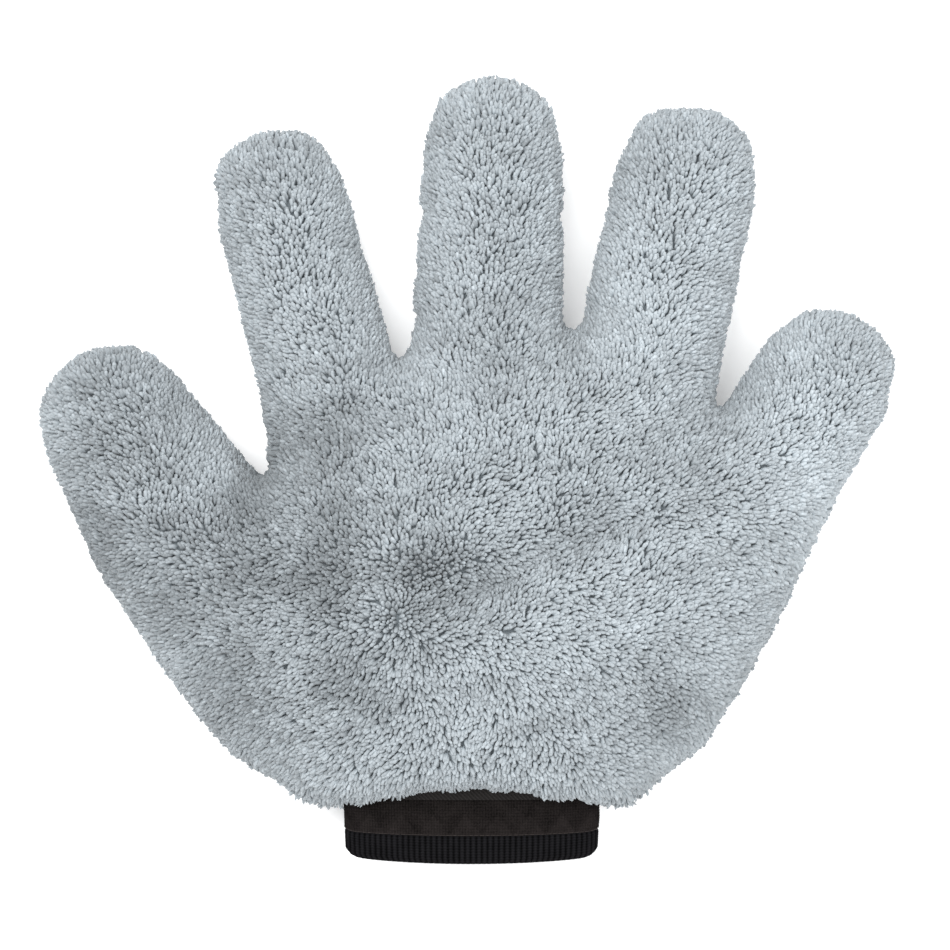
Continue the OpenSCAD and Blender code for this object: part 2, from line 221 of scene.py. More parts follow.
class Value:
    """A value socket that adds its Math nodes when it is used in an expression."""

    def __init__(self, look, socket):
        self.look = look
        self.socket = socket

    def maths(self, operation, *values):
        return self.look.node("ShaderNodeMath", {"operation": operation}, dict(enumerate(values)))

    def __add__(self, other):
        return self.maths("ADD", self, other)

    def __radd__(self, other):
        return self.maths("ADD", other, self)

    def __sub__(self, other):
        return self.maths("SUBTRACT", self, other)

    def __rsub__(self, other):
        return self.maths("SUBTRACT", other, self)

    def __mul__(self, other):
        return self.maths("MULTIPLY", self, other)

    def __rmul__(self, other):
        return self.maths("MULTIPLY", other, self)

    def phase(self, length):
        """The angle in a pattern that repeats over this length."""
        return self * (2 * math.pi / length)

    def sine(self):
        return self.maths("SINE", self)

    def cosine(self):
        return self.maths("COSINE", self)

    def absolute(self):
        return self.maths("ABSOLUTE", self)

    def floor(self):
        return self.maths("FLOOR", self)

    def back_and_forth(self, reach):
        return self.maths("PINGPONG", self, reach)


class Look:
    """A material and its nodes."""

    def __init__(self, name, **constants):
        self.material = bpy.data.materials.new(name)
        self.material.use_nodes = True
        self.tree = self.material.node_tree
        self.shader = self.tree.nodes["Principled BSDF"]
        for socket, value in constants.items():
            self.shader.inputs[socket.replace("_", " ")].default_value = value

    def node(self, kind, settings=None, inputs=None, output=0):
        """Adds a node with its settings, then its inputs, and gives one of its outputs."""
        made = self.tree.nodes.new(kind)
        for setting, value in (settings or {}).items():
            setattr(made, setting, value)
        for key, value in (inputs or {}).items():
            if isinstance(value, Value):
                self.tree.links.new(value.socket, made.inputs[key])
            else:
                made.inputs[key].default_value = value
        return Value(self, made.outputs[output])

    def mix(self, factor, first, second, blend="MIX"):
        """Mixes two colours."""
        return self.node("ShaderNodeMix", {"data_type": "RGBA", "blend_type": blend},
                         {0: factor, 6: first, 7: second}, output=2)

    def noise(self, place, scale, detail=2.0):
        return self.node("ShaderNodeTexNoise", None,
                         {"Vector": place, "Scale": scale, "Detail": detail})

    def object_place(self):
        return self.node("ShaderNodeTexCoord", output=3)

    def split(self, vector):
        return [self.node("ShaderNodeSeparateXYZ", None, {0: vector}, output=n) for n in range(3)]

    def combine(self, *parts):
        return self.node("ShaderNodeCombineXYZ", None, dict(enumerate(parts)))

    def feed(self, socket, value):
        self.tree.links.new(value.socket, self.shader.inputs[socket])

    def bump(self, height, distance, strength=1.0):
        self.feed("Normal", self.node("ShaderNodeBump", None, {
            "Strength": strength, "Distance": distance, "Height": height}))


def rgba(colour, share=1.0):
    return tuple(min(1.0, part * share) for part in colour) + (1.0,)


# The tufts come in this many shades, side by side in their map, which they fill but for a margin
SHADES = 32
SHADE_MARGIN = 0.08
ROOT_MARGIN = 0.01

# Length of one stitch along the band and along the rib hem
BAND_COURSE = 0.95 * MM
RIB_COURSE = 0.85 * MM

# Grain of the noise that stands for fibres in the cuff's yarn
YARN_GRAIN = 2200.0


@lru_cache
def plush_look():
    """Pile: painted shade darkens it towards the roots, pale at the tips, with fine fibres along
    every tuft.
    """
    s = bpy.context.scene.glove_plush
    look = Look("coral_fleece", Roughness=0.9, Sheen_Weight=0.25, Sheen_Roughness=0.45,
                Specular_IOR_Level=0.25)
    around, along, _ = look.split(look.node("ShaderNodeUVMap", {"uv_map": "shade"}))
    band = (around * SHADES).floor() * (1 / SHADES)
    fibres = look.noise(look.combine(around * SHADES * 8.0, along * 5.0, band * 40.0), 1.0, 2.0)
    # Painted shade: the colour darkens from the tips down to the roots, for the shade deep in the
    # pile
    depth = look.node("ShaderNodeMapRange", {"interpolation_type": "SMOOTHSTEP"},
                      {"Value": along, "From Min": 0.08, "From Max": 0.72})
    colour = look.mix(depth, rgba(s.root_shade_colour), rgba(s.tip_colour))
    # Painted light and shade: each tuft's band carries its shade, with the spots' painted light
    # and shade, and brightens or darkens its colour
    light = (0.52 + band * 0.90) * (0.70 + fibres * 0.60)
    colour = look.mix(1.0, colour, look.node("ShaderNodeCombineColor", None, {
        0: light, 1: light, 2: light}), "MULTIPLY")
    look.feed("Base Color", colour)
    look.bump(fibres, 0.15 * MM, 0.5)
    return look.material


def yarn(look, colour, shade, fibres, height):
    """Feeds a dark yarn's colour, roughness and relief."""
    look.feed("Base Color", look.mix(shade, rgba(colour, 0.25), rgba(colour, 2.4)))
    look.feed("Roughness", 0.80 + fibres * 0.18)
    look.bump(height, 0.15 * MM, 0.7)
    return look.material


def cuff_pattern(look):
    """Turns round the cuff, and millimetres along it."""
    return look.split(look.node("ShaderNodeUVMap", {"uv_map": "pattern"}))[:2]


@lru_cache
def rib_look():
    """Fine ribs of yarn, with painted shade darkening the grooves between them."""
    s = bpy.context.scene.glove_cuff
    look = Look("cuff_rib_yarn", Specular_IOR_Level=0.03)
    turn, run = cuff_pattern(look)
    rib = (turn * (math.pi * s.rib_count)).cosine().absolute()
    loops = (run.phase(RIB_COURSE / MM) + rib * 1.9).sine()
    fibres = look.noise(look.object_place(), YARN_GRAIN, 3.0)
    patches = look.noise(look.object_place(), 260.0, 2.0)
    # Painted shade: the colour darkens from the ribs' crests into the grooves between them
    shade = rib * 0.55 + loops * 0.12 + fibres * 0.40 + patches * 0.35 - 0.42
    return yarn(look, s.rib_colour, shade, fibres, fibres + loops * 0.3)


@lru_cache
def band_look():
    """Brownish black knitting with a row of faint paler triangles along the rib hem."""
    s = bpy.context.scene.glove_cuff
    look = Look("cuff_band_yarn", Specular_IOR_Level=0.03)
    turn, run = cuff_pattern(look)
    tooth = (turn * s.tooth_count).back_and_forth(0.5) * 2.0
    height = run * (-MM / s.tooth_height)
    inside = look.node("ShaderNodeMapRange", {"interpolation_type": "SMOOTHSTEP"}, {
        "Value": tooth - height, "From Min": -0.12, "From Max": 0.12})
    fibres = look.noise(look.object_place(), YARN_GRAIN, 3.0)
    patches = look.noise(look.object_place(), 170.0, 3.0)
    wale = turn.phase(1 / (2 * s.rib_count)).sine()
    course = run.phase(BAND_COURSE / MM).sine()
    shade = inside * 0.12 + fibres * 0.80 + patches * 0.55 + wale * 0.07 + course * 0.06 - 0.42
    return yarn(look, s.band_colour, shade, fibres, fibres + wale * 0.2 + course * 0.2)


@lru_cache
def stitch_look():
    """The thin brown thread of the join."""
    s = bpy.context.scene.glove_cuff
    look = Look("cuff_join_yarn", Specular_IOR_Level=0.1)
    fibres = look.noise(look.object_place(), 1500.0, 2.0)
    return yarn(look, tuple(1.9 * part for part in s.band_colour), fibres, fibres, fibres)


@lru_cache
def lining_look():
    """Thin tricot: fine wales with a faint sheen."""
    s = bpy.context.scene.glove_sewing
    look = Look("tricot_lining", Roughness=0.8, Sheen_Weight=0.2, Sheen_Roughness=0.4)
    x, y, z = look.split(look.object_place())
    wale = x.phase(1.1 * MM).sine()
    course = (y.phase(0.8 * MM) + wale * 0.9).sine()
    knit = wale * 0.25 + course * 0.25 + 0.5
    wear = look.noise(look.combine(x, y, z), 90.0, 3.0)
    look.feed("Base Color", look.mix(knit * 0.5 + wear * 0.5, rgba(s.lining_colour, 0.72),
                                     rgba(s.lining_colour, 1.12)))
    look.bump(knit, 0.15 * MM, 0.7)
    return look.material


@lru_cache
def thread_look(name, colour):
    """Overlocked seam: threads laid side by side across the edge."""
    look = Look(name, Roughness=0.8, Specular_IOR_Level=0.1)
    x, y, z = look.split(look.object_place())
    threads = ((x + y).phase(1.3 * MM) + (z * 900.0).sine()).sine()
    twist = look.noise(look.combine(x, y, z), 1800.0, 2.0)
    shade = threads * 0.35 + twist * 0.5 + 0.25
    look.feed("Base Color", look.mix(shade, rgba(colour, 0.5), rgba(colour, 1.3)))
    look.bump(threads * 0.5 + twist * 0.5, 0.3 * MM, 0.8)
    return look.material


@lru_cache
def elastic_look():
    """Woven elastic: rubber cords along it and a fine weft across."""
    s = bpy.context.scene.glove_sewing
    look = Look("woven_elastic", Roughness=0.7, Sheen_Weight=0.1)
    x, y, z = look.split(look.object_place())
    cords = y.phase(1.0 * MM).sine()
    weft = (x.phase(0.7 * MM) + cords).sine()
    dust = look.noise(look.combine(x, y, z), 500.0, 3.0)
    shade = cords * 0.25 + weft * 0.2 + dust * 0.3 + 0.35
    look.feed("Base Color", look.mix(shade, rgba(s.elastic_colour, 0.7),
                                     rgba(s.elastic_colour, 1.1)))
    look.bump(cords * 0.5 + weft * 0.5, 0.25 * MM, 0.8)
    return look.material


# ---- smooth random fields ----------------------------------------------------------------------

def waves(points, size, seed, count=7):
    """A smooth random value at each point, roughly from -1 to 1, with features of this size."""
    draw = np.random.default_rng(seed)
    total = np.zeros(len(points))
    for _ in range(count):
        direction = draw.normal(size=3)
        direction /= np.linalg.norm(direction)
        rate = 2 * math.pi / size * draw.uniform(0.6, 1.4)
        total += np.sin(points @ direction * rate + draw.uniform(0, 2 * math.pi))
    return total * math.sqrt(2.0 / count) * 0.7


def smooth_step(low, high, value):
    t = np.clip((value - low) / (high - low), 0, 1)
    return t * t * (3 - 2 * t)


# ---- the glove's plan on a grid of cells -------------------------------------------------------

# Size of a cell, room round the plan, how far the grid runs past the hem, and the height that the
# rays which find the plan start from
CELL = 1.0 * MM
MARGIN = 8 * MM
WRIST_RUN = 60 * MM
RAY_START = -10 * MM

# The plan's edge is smoothed over the first distance, and its corners are rounded to the second
EDGE_BLUR = 1.5 * MM
EDGE_ROUND = 10 * MM

# The inflated height is solved in sweeps over the grid, each step overshot by the factor
SWEEPS = 320
OVERSHOOT = 1.9


@lru_cache
def grid():
    """X and Y of the cells, rows along Y."""
    low, high = CAD_BOX
    x = np.arange(low.x - MARGIN, high.x + MARGIN, CELL)
    y = np.arange(HEM_Y - WRIST_RUN, high.y + MARGIN, CELL)
    return np.meshgrid(x, y)


def cells():
    """The cells as points at height 0, in a row."""
    x, y = grid()
    return np.stack([x.ravel(), y.ravel(), 0 * x.ravel()], 1)


def blurred(field, sigma):
    reach = int(3 * sigma / CELL) + 1
    kernel = np.exp(-0.5 * (np.arange(-reach, reach + 1) * CELL / sigma) ** 2)
    kernel /= kernel.sum()
    for axis in (0, 1):
        field = np.apply_along_axis(np.convolve, axis, field, kernel, "same")
    return field


def shifted(field, rows, columns):
    return np.roll(field, (rows, columns), (0, 1))


def beside(inside):
    """The cells of a region and the cells that touch it."""
    wide = inside.copy()
    for rows in (-1, 0, 1):
        for columns in (-1, 0, 1):
            wide |= shifted(inside, rows, columns)
    return wide


def distance_from(region):
    """Distance of every cell from the nearest cell of a region."""
    x, y = grid()
    edge = region & beside(~region)
    tree = KDTree(int(edge.sum()))
    for n, place in enumerate(zip(x[edge], y[edge])):
        tree.insert((*place, 0.0), n)
    tree.balance()
    far = np.array([tree.find((a, b, 0.0))[2] for a, b in zip(x.ravel(), y.ravel())])
    far = far.reshape(x.shape)
    far[region] = 0.0
    return far


@lru_cache
def edge_distance():
    """Distance of every cell inside the glove's plan from its edge."""
    names = [n for n in frame["nodes"] if n.endswith("_back") or n.endswith("_face")]
    points, faces = [], []
    for name in names:
        mesh = frame["nodes"][name].data
        start = len(points)
        points += [v.co.copy() for v in mesh.vertices]
        faces += [[start + i for i in p.vertices] for p in mesh.polygons]
    tree = BVHTree.FromPolygons(points, faces)
    x, y = grid()
    up = Vector((0, 0, 1))
    under = CAD_BOX[0].z - MARGIN
    hit = [tree.ray_cast(Vector((a, b, RAY_START)), up)[0] is not None
           for a, b in zip(x.ravel(), y.ravel())]
    plan = blurred(np.array(hit, float).reshape(x.shape), EDGE_BLUR) > 0.5
    core = distance_from(~plan) > EDGE_ROUND
    plan &= distance_from(core) < EDGE_ROUND
    return distance_from(~plan)


def inflated(inside, reach):
    """Height of an inflated skin over a region, whose rise levels off past this reach."""
    rows, columns = np.indices(inside.shape)
    colours = [inside & ((rows + columns) % 2 == n) for n in (0, 1)]
    height = np.zeros(inside.shape)
    share = 1 / (4 + (CELL / reach) ** 2)
    for _ in range(SWEEPS):
        for colour in colours:
            around = (shifted(height, 1, 0) + shifted(height, -1, 0)
                      + shifted(height, 0, 1) + shifted(height, 0, -1))
            fresh = (around + CELL ** 2) * share
            height[colour] += OVERSHOOT * (fresh - height)[colour]
    return np.sqrt(np.maximum(height, 0))


# Soft creases of the palm: two ends, in metres, half width and depth
CREASES = [
    ((0.006, -0.036), (0.050, -0.014), 6 * MM, 2.6 * MM),
    ((-0.030, -0.034), (0.004, -0.040), 8 * MM, 2.0 * MM),
    ((-0.062, 0.006), (-0.030, 0.016), 7 * MM, 1.6 * MM),
    ((-0.012, 0.030), (0.024, 0.030), 7 * MM, 1.5 * MM),
    ((0.072, 0.000), (0.080, -0.045), 8 * MM, 0.8 * MM),
]


def crease_depth(x, y):
    """How deep the soft creases lie at each place."""
    total = np.zeros(x.shape)
    for (ax, ay), (bx, by), half, depth in CREASES:
        run = (bx - ax) ** 2 + (by - ay) ** 2
        t = np.clip(((x - ax) * (bx - ax) + (y - ay) * (by - ay)) / run, 0, 1)
        off = np.hypot(x - ax - t * (bx - ax), y - ay - t * (by - ay))
        total += depth * np.exp(-((off / half) ** 2))
    return total


# The backing ends this far in from the panels' hem, and further back in the cuff's middle
HEM_IN = 1.8 * MM
HEM_BOW = 3.6 * MM

# The cuff's outline lying relaxed: a flattened dome over a floor that rises only near the sides
DOME_POWER = 0.85
FLOOR_STEEPNESS = 1.3


def hem_line(x):
    """Where the backing ends over the cuff: the hem lies a little further back in its middle."""
    share = np.clip((x - CUFF_X) / CUFF_HALF, -1, 1)
    return HEM_Y + HEM_IN + HEM_BOW * (1 - share ** 2)


def cuff_height(x, side):
    """Height of the cuff's surface off the seam plane, above or below, and 0 beside the cuff."""
    sine = np.sqrt(np.clip(1 - ((x - CUFF_X) / CUFF_HALF) ** 2, 0, 1))
    dome = sine ** DOME_POWER
    return CUFF_RISE * dome if side > 0 else CUFF_DEPTH * np.minimum(1, FLOOR_STEEPNESS * dome)


# How far in from the edge the skin's rise levels off, how far the skin runs past the cuff's sides
# and over its hem, and how far from the hem the palm's full height is measured
LEVEL_OFF = 22 * MM
PAST_SIDE = 6 * MM
OVER_HEM = 10 * MM
PALM_START = 30 * MM

# Creases fade in between these heights of the skin, which is uneven by a share over a size
CREASE_FADE = (6 * MM, 16 * MM)
UNEVEN = 0.035
UNEVEN_SIZE = 55 * MM

# The underside drops off the seam at this rate, and faster where the skin above it is high
DROP = 1.45
DROP_GAIN = 0.4

# The hem rolls in to the cuff over this length, and is cut open this far from its line
ROLL = 7 * MM
HEM_CUT = 3 * MM
SMOOTHINGS = 10


def corners_of(grid_of):
    """The four corners of every cell of a grid, in a row."""
    return np.stack([grid_of[:-1, :-1], grid_of[:-1, 1:], grid_of[1:, 1:], grid_of[1:, :-1]], 2)


class Shell:
    """A closed mesh's points, quads and normals, as arrays."""

    def __init__(self, points, quads, normals):
        self.points = points
        self.quads = quads
        self.normals = normals


def voxel_shell(points, faces, voxel):
    """Remeshes a closed shape into even quads and smooths it."""
    mesh = bpy.data.meshes.new("raw_shell")
    mesh.from_pydata(points, [], faces)
    raw = bpy.data.objects.new("raw_shell", mesh)
    bpy.context.scene.collection.objects.link(raw)
    remesh = raw.modifiers.new("voxels", "REMESH")
    remesh.mode = "VOXEL"
    remesh.voxel_size = voxel
    smooth = raw.modifiers.new("smooth", "SMOOTH")
    smooth.factor = 0.5
    smooth.iterations = SMOOTHINGS
    even = bpy.data.meshes.new_from_object(
        raw.evaluated_get(bpy.context.evaluated_depsgraph_get()))
    co = np.zeros(len(even.vertices) * 3)
    even.vertices.foreach_get("co", co)
    normals = np.zeros(len(even.vertices) * 3)
    even.vertices.foreach_get("normal", normals)
    corners = np.zeros(len(even.loops), int)
    even.loops.foreach_get("vertex_index", corners)
    bpy.data.objects.remove(raw)
    for used in (mesh, even):
        bpy.data.meshes.remove(used)
    return Shell(co.reshape(-1, 3), corners.reshape(-1, 4), normals.reshape(-1, 3))


def glove_shell(inset, rise, depth, voxel, hem, rolled):
    """A smooth glove-shaped skin this far inside the plan, open at the hem."""
    x, y = grid()
    wrist = (np.abs(x - CUFF_X) < CUFF_HALF + PAST_SIDE - inset * 0.5) & (y < HEM_Y + OVER_HEM)
    inside = (edge_distance() > inset) | wrist
    height = inflated(inside, LEVEL_OFF)
    height *= rise / height[y > HEM_Y + PALM_START].max()
    inside &= y >= hem
    top = height - crease_depth(x, y) * smooth_step(*CREASE_FADE, height)
    top = top * (1 + UNEVEN * waves(cells(), UNEVEN_SIZE, 3).reshape(x.shape))
    bottom = depth * (1 - np.exp(-DROP * height / depth * (1 + DROP_GAIN * height / depth)))
    if rolled:
        turn = np.clip((y - hem) / ROLL, 0, 1)
        roll = np.sqrt(1 - (1 - turn) ** 2)
        top = cuff_height(x, 1) * (1 - roll) + top * roll
        bottom = cuff_height(x, -1) * (1 - roll) + bottom * roll
    wide = beside(inside)
    upper = -np.ones(x.shape, int)
    upper[wide] = np.arange(wide.sum())
    lower = upper.copy()
    lower[inside] = wide.sum() + np.arange(inside.sum())
    level = np.where(inside, top, 0.0)
    points = np.concatenate([
        np.stack([x[wide], y[wide], SEAM_Z + level[wide]], 1),
        np.stack([x[inside], y[inside], SEAM_Z - bottom[inside]], 1)])
    quads = []
    for ids, order in ((upper, (0, 1, 2, 3)), (lower, (3, 2, 1, 0))):
        corners = corners_of(ids)
        used = (corners >= 0).all(2) & corners_of(inside).any(2)
        quads.append(corners[used][:, order])
    shell = voxel_shell(points.tolist(), np.concatenate(quads).tolist(), voxel)
    middle = shell.points[shell.quads].mean(1)
    above = cuff_height(middle[:, 0], 1) + SEAM_Z
    below = SEAM_Z - cuff_height(middle[:, 0], -1)
    in_cuff = (np.abs(middle[:, 0] - CUFF_X) < CUFF_HALF) & (middle[:, 2] < above) & (
        middle[:, 2] > below)
    near_hem = middle[:, 1] - hem_line(middle[:, 0]) < HEM_CUT
    cap = near_hem & in_cuff if rolled else middle[:, 1] < hem + voxel
    shell.quads = shell.quads[~cap]
    return shell


# The backing's gap from the edge past the pile's stand, how much less of it there is at a tip, and
# the backing's height off the floor
EDGE_GAP = 1.1 * MM
TIP_OUT = 1.9 * MM
UNDER_GAP = 2.6 * MM


def plush_inset(stand):
    """How far inside the plan the backing ends: less at the tips of the digits."""
    places = cells()
    at_tip = np.zeros(len(places))
    for digit in DIGITS:
        share = np.abs(digit.across(places)) / digit.half
        tip = smooth_step(digit.length - 16 * MM, digit.length - 4 * MM, digit.along(places))
        at_tip = np.maximum(at_tip, tip * (share < 1.3))
    return stand + EDGE_GAP - TIP_OUT * at_tip.reshape(grid()[0].shape)


@lru_cache
def plush_backing():
    """The skin that the pile stands on."""
    s = bpy.context.scene.glove_plush
    return glove_shell(inset=plush_inset(s.stand), rise=PALM_TOP - SEAM_Z - s.stand,
                       depth=SEAM_Z - UNDER_GAP, voxel=s.pitch, hem=hem_line(grid()[0]),
                       rolled=True)


# ---- which piece a place belongs to ------------------------------------------------------------

PALM = 0


def part_at(points):
    """0 in the palm, 1 and 2 in the thumb's base and tip, and so on for the other digits."""
    part = np.full(len(points), PALM)
    nearest = np.full(len(points), np.inf)
    for n, digit in enumerate(DIGITS):
        along = digit.along(points)
        share = np.abs(digit.across(points)) / digit.half
        mine = (along > -digit.hinge_reach) & (share < 1.2) & (share < nearest)
        split = max(digit.hinge_reach, digit.bend / 2)
        part[mine] = np.where(along[mine] > split, 2 * n + 2, 2 * n + 1)
        nearest[mine] = share[mine]
    return part


def put_on_body(piece, part):
    """Lets a piece of the palm follow its body; a digit's piece only has its place baked into its
    points.
    """
    if part == PALM:
        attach(piece, "palm")
        return
    digit = DIGITS[(part - 1) // 2]
    if part % 2:
        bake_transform(piece)
    else:
        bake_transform(piece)


def part_name(part):
    if part == PALM:
        return "palm"
    return DIGITS[(part - 1) // 2].name + ("_base" if part % 2 else "_tip")


# ---- meshes ------------------------------------------------------------------------------------

class Build:
    """Collects points and faces, then makes one object of them."""

    def __init__(self):
        self.points = []
        self.corners = []
        self.counts = []
        self.maps = {}
        self.total = 0

    def add(self, points, corners, counts, **maps):
        """Adds faces: their corners in a row, how many each has, and map places per corner."""
        self.points.append(points)
        self.corners.append(corners + self.total)
        self.counts.append(counts)
        for name, places in maps.items():
            self.maps.setdefault(name, []).append(places)
        self.total += len(points)

    def add_quads(self, points, quads, **maps):
        """Adds quads, every corner at the same place in each map."""
        used, corners = np.unique(quads, return_inverse=True)
        corners = corners.reshape(-1)
        self.add(points[used], corners, np.full(len(quads), 4),
                 **{name: np.tile(place, (len(corners), 1)) for name, place in maps.items()})

    def make(self, name, material):
        points = np.concatenate(self.points)
        corners = np.concatenate(self.corners)
        counts = np.concatenate(self.counts)
        mesh = bpy.data.meshes.new(name)
        mesh.vertices.add(len(points))
        mesh.vertices.foreach_set("co", points.astype(np.float32).ravel())
        mesh.loops.add(len(corners))
        mesh.loops.foreach_set("vertex_index", corners.astype(np.int32))
        mesh.polygons.add(len(counts))
        starts = np.concatenate([[0], np.cumsum(counts)[:-1]])
        mesh.polygons.foreach_set("loop_start", starts.astype(np.int32))
        for map_name, places in self.maps.items():
            layer = mesh.uv_layers.new(name=map_name)
            layer.data.foreach_set("uv", np.concatenate(places).astype(np.float32).ravel())
        mesh.update(calc_edges=True)
        mesh.shade_smooth()
        mesh.materials.append(material)
        made = bpy.data.objects.new(name, mesh)
        bpy.context.scene.collection.objects.link(made)
        return made


class TuftShape:
    """Rings of points along a tuft, from its root to its tip."""

    def __init__(self, sides, stations, swell):
        self.sides = sides
        self.stations = np.array(stations)
        self.swell = np.array(swell)
        corners, counts, places = [], [], []
        last = len(stations) - 1
        for ring in range(last):
            for k in range(sides):
                n = (k + 1) % sides
                corners += [ring * sides + k, ring * sides + n,
                            (ring + 1) * sides + n, (ring + 1) * sides + k]
                counts.append(4)
                low, high = stations[ring], stations[ring + 1]
                places += [(k, low), (k + 1, low), (k + 1, high), (k, high)]
        for k in range(sides):
            corners += [last * sides + k, last * sides + (k + 1) % sides, (last + 1) * sides]
            counts.append(3)
            places += [(k, stations[last]), (k + 1, stations[last]), (k + 0.5, 1.0)]
        self.corners = np.array(corners)
        self.counts = np.array(counts)
        self.places = np.array(places, float) / (sides, 1)


FACE_TUFT = TuftShape(5, (0.0, 0.46, 0.87), (0.5, 1.0, 0.84))
BACK_TUFT = TuftShape(4, (0.0, 0.62), (0.6, 1.0))
ROOT_LEAN = math.radians(22)
TUFT_FLATNESS = 0.75


def add_tufts(build, shape, roots, normals, flow, lean, length, width, shade):
    """Adds one tuft for each root, bent over along the flow."""
    count = len(roots)
    if not count:
        return
    side = np.cross(normals, flow)
    turn = (lean - ROOT_LEAN)[:, None]
    rings = []
    for station, swell in zip(list(shape.stations) + [1.0], list(shape.swell) + [0.0]):
        angle = ROOT_LEAN + turn * station
        middle = roots + length[:, None] / turn * (
            normals * (np.sin(angle) - math.sin(ROOT_LEAN))
            + flow * (math.cos(ROOT_LEAN) - np.cos(angle)))
        if swell == 0.0:
            rings.append(middle[:, None, :])
            continue
        up = normals * np.sin(angle) - flow * np.cos(angle)
        half = width[:, None] * swell / 2
        ring = [middle + side * half * math.cos(a) + up * half * TUFT_FLATNESS * math.sin(a)
                for a in 2 * math.pi * np.arange(shape.sides) / shape.sides]
        rings.append(np.stack(ring, 1))
    points = np.concatenate(rings, 1)
    each = points.shape[1]
    corners = (np.arange(count)[:, None] * each + shape.corners[None, :]).ravel()
    band = np.clip((shade * SHADES).astype(int), 0, SHADES - 1)
    u = shape.places[None, :, 0] * (1 - 2 * SHADE_MARGIN) + SHADE_MARGIN
    u = (band[:, None] + u) / SHADES
    v = np.broadcast_to(shape.places[None, :, 1] * (1 - 2 * ROOT_MARGIN) + ROOT_MARGIN, u.shape)
    places = np.stack([u.ravel(), v.ravel()], 1)
    build.add(points.reshape(-1, 3), corners, np.tile(shape.counts, count),
              shade=places, OFBake=places)


# ---- the lie of the pile -----------------------------------------------------------------------

# How far the palm's plush runs on under a digit's, and how deep it lies there
SKIRT = 9 * MM
SUNK = 0.5 * MM

# The palm's pile leans away from its parting, and stands upright within the radius
PARTING = np.array([-0.012, -0.041, 0.0])
PARTING_RADIUS = 28 * MM

# How the lie wavers: size in the palm, then the larger and smaller turns and each tuft's own, in
# radians
WAVER = 0.28
WAVER_SIZE = 40 * MM
TURN = 0.35
TURN_SMALL_SIZE = 13 * MM
TURN_OWN = 0.36

# The lie turns along a digit between these distances from its knuckle, where the pile also stands
# up more, and turns outward over the edge by this much
DIGIT_LIE = (-14 * MM, 12 * MM)
DIGIT_STAND = 0.26
OVER_EDGE = 1.1

# Where the pile is darker or paler: x, y and radius, in millimetres, and amount. These spots are
# painted light and shade, for where the pile's lie and the palm's folds catch more or less light,
# and the last six small dark spots are a painted shadow along a crease across the palm
TONE_AND_PAINTED_SHADE_SPOTS = [
    (-9, -35, 14, -0.38), (-72, -28, 21, -0.34), (-43, -30, 15, -0.38), (-52, 7, 13, -0.36),
    (-34, 8, 12, -0.28), (-36, -14, 10, -0.22), (-122, -7, 10, -0.26), (29, 35, 9, -0.20),
    (-75, 82, 8, -0.16), (-54, -82, 10, -0.18), (-66, -7, 11, -0.28), (-28, -66, 11, -0.30),
    (-43, -66, 13, -0.14), (-71, -65, 14, -0.42), (-108, -26, 15, -0.40), (-74, 67, 9, -0.32),
    (59, -32, 9, 0.14), (61, 41, 11, 0.16), (-104, 14, 20, -0.27), (4, 43, 10, -0.12),
    (26, -18, 8, -0.10), (40, -8, 8, -0.10), (52, 1, 9, -0.10), (56, -69, 12, -0.36),
    (75, 11, 9, -0.28), (-52, 93, 14, -0.16), (-8, 98, 10, -0.14), (51, 102, 11, -0.16),
    (57, 64, 24, 0.15), (106, 4, 26, 0.28), (34, -50, 24, 0.10), (-36, -56, 9, -0.14),
    (-91, -45, 10, -0.16), (47, 87, 9, -0.14), (-24, 29, 9, -0.14), (-4, -11, 9, -0.12),
    (26, -72, 9, -0.14), (-61, 24, 9, -0.14), (6, 27, 8, -0.12), (84, 21, 8, -0.12),
    (15, 47, 8, -0.10), (25, -58, 8, -0.10), (69, -2, 8, -0.12), (22, 1, 8, -0.10),
    (6, -33, 5, -0.16), (15, -30, 5, -0.18), (24, -28, 5, -0.18), (33, -25, 5, -0.18),
    (42, -21, 5, -0.16), (51, -18, 5, -0.12),
]


def tone_and_painted_shade_at(points):
    """How much paler than usual the pile is at each place, and darker below 0: random tone, with
    the painted light and shade of the spots.
    """
    total = 0.05 * waves(points, 24 * MM, 5) + 0.05 * waves(points, 9 * MM, 6)
    for x, y, radius, amount in TONE_AND_PAINTED_SHADE_SPOTS:
        away = (points[:, 0] - x * MM) ** 2 + (points[:, 1] - y * MM) ** 2
        total += amount * np.exp(-away / (radius * MM) ** 2)
    return total


def laid_on(flow, normals):
    """A flow's unit directions in the planes of these normals, and its strength in them."""
    flow = flow - normals * (flow * normals).sum(1)[:, None]
    strength = np.linalg.norm(flow, axis=1)
    return flow / (strength[:, None] + 1e-9), strength


